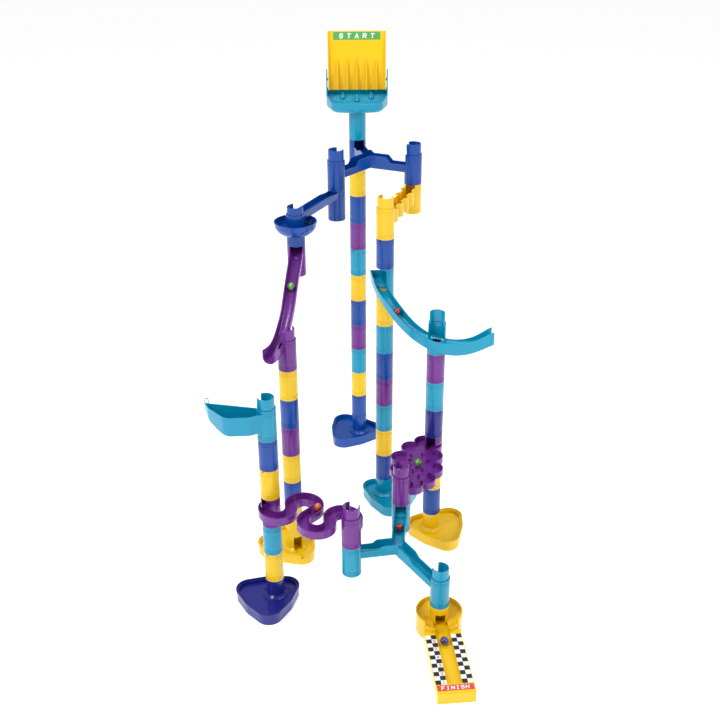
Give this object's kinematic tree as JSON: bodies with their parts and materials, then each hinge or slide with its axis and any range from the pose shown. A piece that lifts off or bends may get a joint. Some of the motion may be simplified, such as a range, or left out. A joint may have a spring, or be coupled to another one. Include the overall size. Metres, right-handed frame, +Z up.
{
  "type": "marble run",
  "caption": "Tall plastic marble run toy: stacked tube towers on trays, linked by splitter, bowl, curved, S-shaped and peg channels, with a tipping start board and a finish ramp.",
  "frame": {"origin": "on the floor, under the middle of the overall bounding box", "axes": "+Z up; +X to the viewer's right as pictured; +Y away from the viewer, so the finish ramp points to -Y and the tall tower stands at the +Y end"},
  "size_m": [0.5434, 0.97, 0.9775],
  "materials": {
    "yellow_plastic": "glossy",
    "cyan_plastic": "glossy",
    "blue_plastic": "glossy",
    "purple_plastic": "glossy",
    "indigo_plastic": "glossy",
    "printed_label": "printed vinyl",
    "glass_green": "polished",
    "glass_red": "polished",
    "glass_orange": "polished",
    "glass_blue": "polished"
  },
  "bodies": {
    "towers_and_tracks": {"bowl_slide": "blue_plastic", "catcher": "cyan_plastic", "checker_label_left": "printed_label", "checker_label_right": "printed_label", "curl_channel": "purple_plastic", "curved_slide": "cyan_plastic", "fifth_tower_base_indigo": "indigo_plastic", "fifth_tower_tube_01_yellow": "yellow_plastic", "fifth_tower_tube_02_cyan": "cyan_plastic", "fifth_tower_tube_04_yellow": "yellow_plastic", "fifth_tower_tube_05_blue": "blue_plastic", "finish_label": "printed_label", "finish_ramp": "yellow_plastic", "fourth_tower_base_yellow": "yellow_plastic", "fourth_tower_tube_01_yellow": "yellow_plastic", "fourth_tower_tube_02_blue": "blue_plastic", "fourth_tower_tube_03_yellow": "yellow_plastic", "fourth_tower_tube_04_purple": "purple_plastic", "fourth_tower_tube_05_blue": "blue_plastic", "fourth_tower_tube_06_yellow": "yellow_plastic", "jump_slide": "purple_plastic", "merge_channel": "cyan_plastic", "middle_tower_base_blue": "blue_plastic", "middle_tower_tube_01_blue": "blue_plastic", "middle_tower_tube_02_yellow": "yellow_plastic", "middle_tower_tube_03_cyan": "cyan_plastic", "middle_tower_tube_04_purple": "purple_plastic", "middle_tower_tube_05_blue": "blue_plastic", "middle_tower_tube_06_yellow": "yellow_plastic", "middle_tower_tube_07_cyan": "cyan_plastic", "middle_tower_tube_08_purple": "purple_plastic", "middle_tower_tube_09_blue": "blue_plastic", "middle_tower_tube_10_yellow": "yellow_plastic", "peg_plate": "purple_plastic", "second_tower_base_cyan": "cyan_plastic", "second_tower_tube_01_blue": "blue_plastic", "second_tower_tube_02_yellow": "yellow_plastic", "second_tower_tube_03_cyan": "cyan_plastic", "second_tower_tube_04_purple": "purple_plastic", "second_tower_tube_05_blue": "blue_plastic", "second_tower_tube_06_cyan": "cyan_plastic", "second_tower_tube_07_yellow": "yellow_plastic", "second_tower_tube_09_blue": "blue_plastic", "start_funnel": "cyan_plastic", "third_tower_base_yellow": "yellow_plastic", "third_tower_tube_01_blue": "blue_plastic", "third_tower_tube_02_yellow": "yellow_plastic", "third_tower_tube_04_indigo": "indigo_plastic", "third_tower_tube_05_cyan": "cyan_plastic", "third_tower_tube_06_purple": "purple_plastic", "top_splitter": "blue_plastic", "wave_slide": "yellow_plastic"},
    "start_board": {"start_board": "yellow_plastic", "start_label": "printed_label"},
    "marble_blue_finish_body": {"marble_blue_finish": "glass_blue"},
    "marble_green_pegs_body": {"marble_green_pegs": "glass_green"},
    "marble_green_slide_body": {"marble_green_slide": "glass_green"},
    "marble_orange_curl_body": {"marble_orange_curl": "glass_orange"},
    "marble_red_curve_body": {"marble_red_curve": "glass_red"},
    "marble_red_merge_body": {"marble_red_merge": "glass_red"}
  },
  "joints": [
    {"name": "start_board_tilt", "type": "hinge", "parent": "towers_and_tracks", "child": "start_board", "pos_m": [0.00996, 0.4431, 0.879], "axis": [1, 0, 0], "range_deg": [-75, 0]},
    {"name": "green_marble_down_the_jump", "type": "slide", "parent": "towers_and_tracks", "child": "marble_green_slide_body", "axis": [-0.1202, -0.7429, -0.6585], "range_m": [-0.005, 0.005]},
    {"name": "red_marble_round_the_curve", "type": "slide", "parent": "towers_and_tracks", "child": "marble_red_curve_body", "axis": [0.5331, -0.7204, -0.4436], "range_m": [-0.006, 0.006]},
    {"name": "green_marble_among_the_pegs", "type": "slide", "parent": "towers_and_tracks", "child": "marble_green_pegs_body", "axis": [-0.4318, -0.9012, -0.0361], "range_m": [-0.006, 0.008]},
    {"name": "orange_marble_round_the_bend", "type": "hinge", "parent": "towers_and_tracks", "child": "marble_orange_curl_body", "pos_m": [-0.09351, -0.21182, 0.22989], "axis": [0.0605, -0.0267, 0.9978], "range_deg": [-14, 14]},
    {"name": "red_marble_down_the_merge", "type": "slide", "parent": "towers_and_tracks", "child": "marble_red_merge_body", "axis": [-0.0974, -0.9761, -0.1945], "range_m": [-0.015, 0.015]},
    {"name": "blue_marble_down_the_ramp", "type": "slide", "parent": "towers_and_tracks", "child": "marble_blue_finish_body", "axis": [0.094, -0.9947, -0.0407], "range_m": [-0.008, 0.1]}
  ]
}
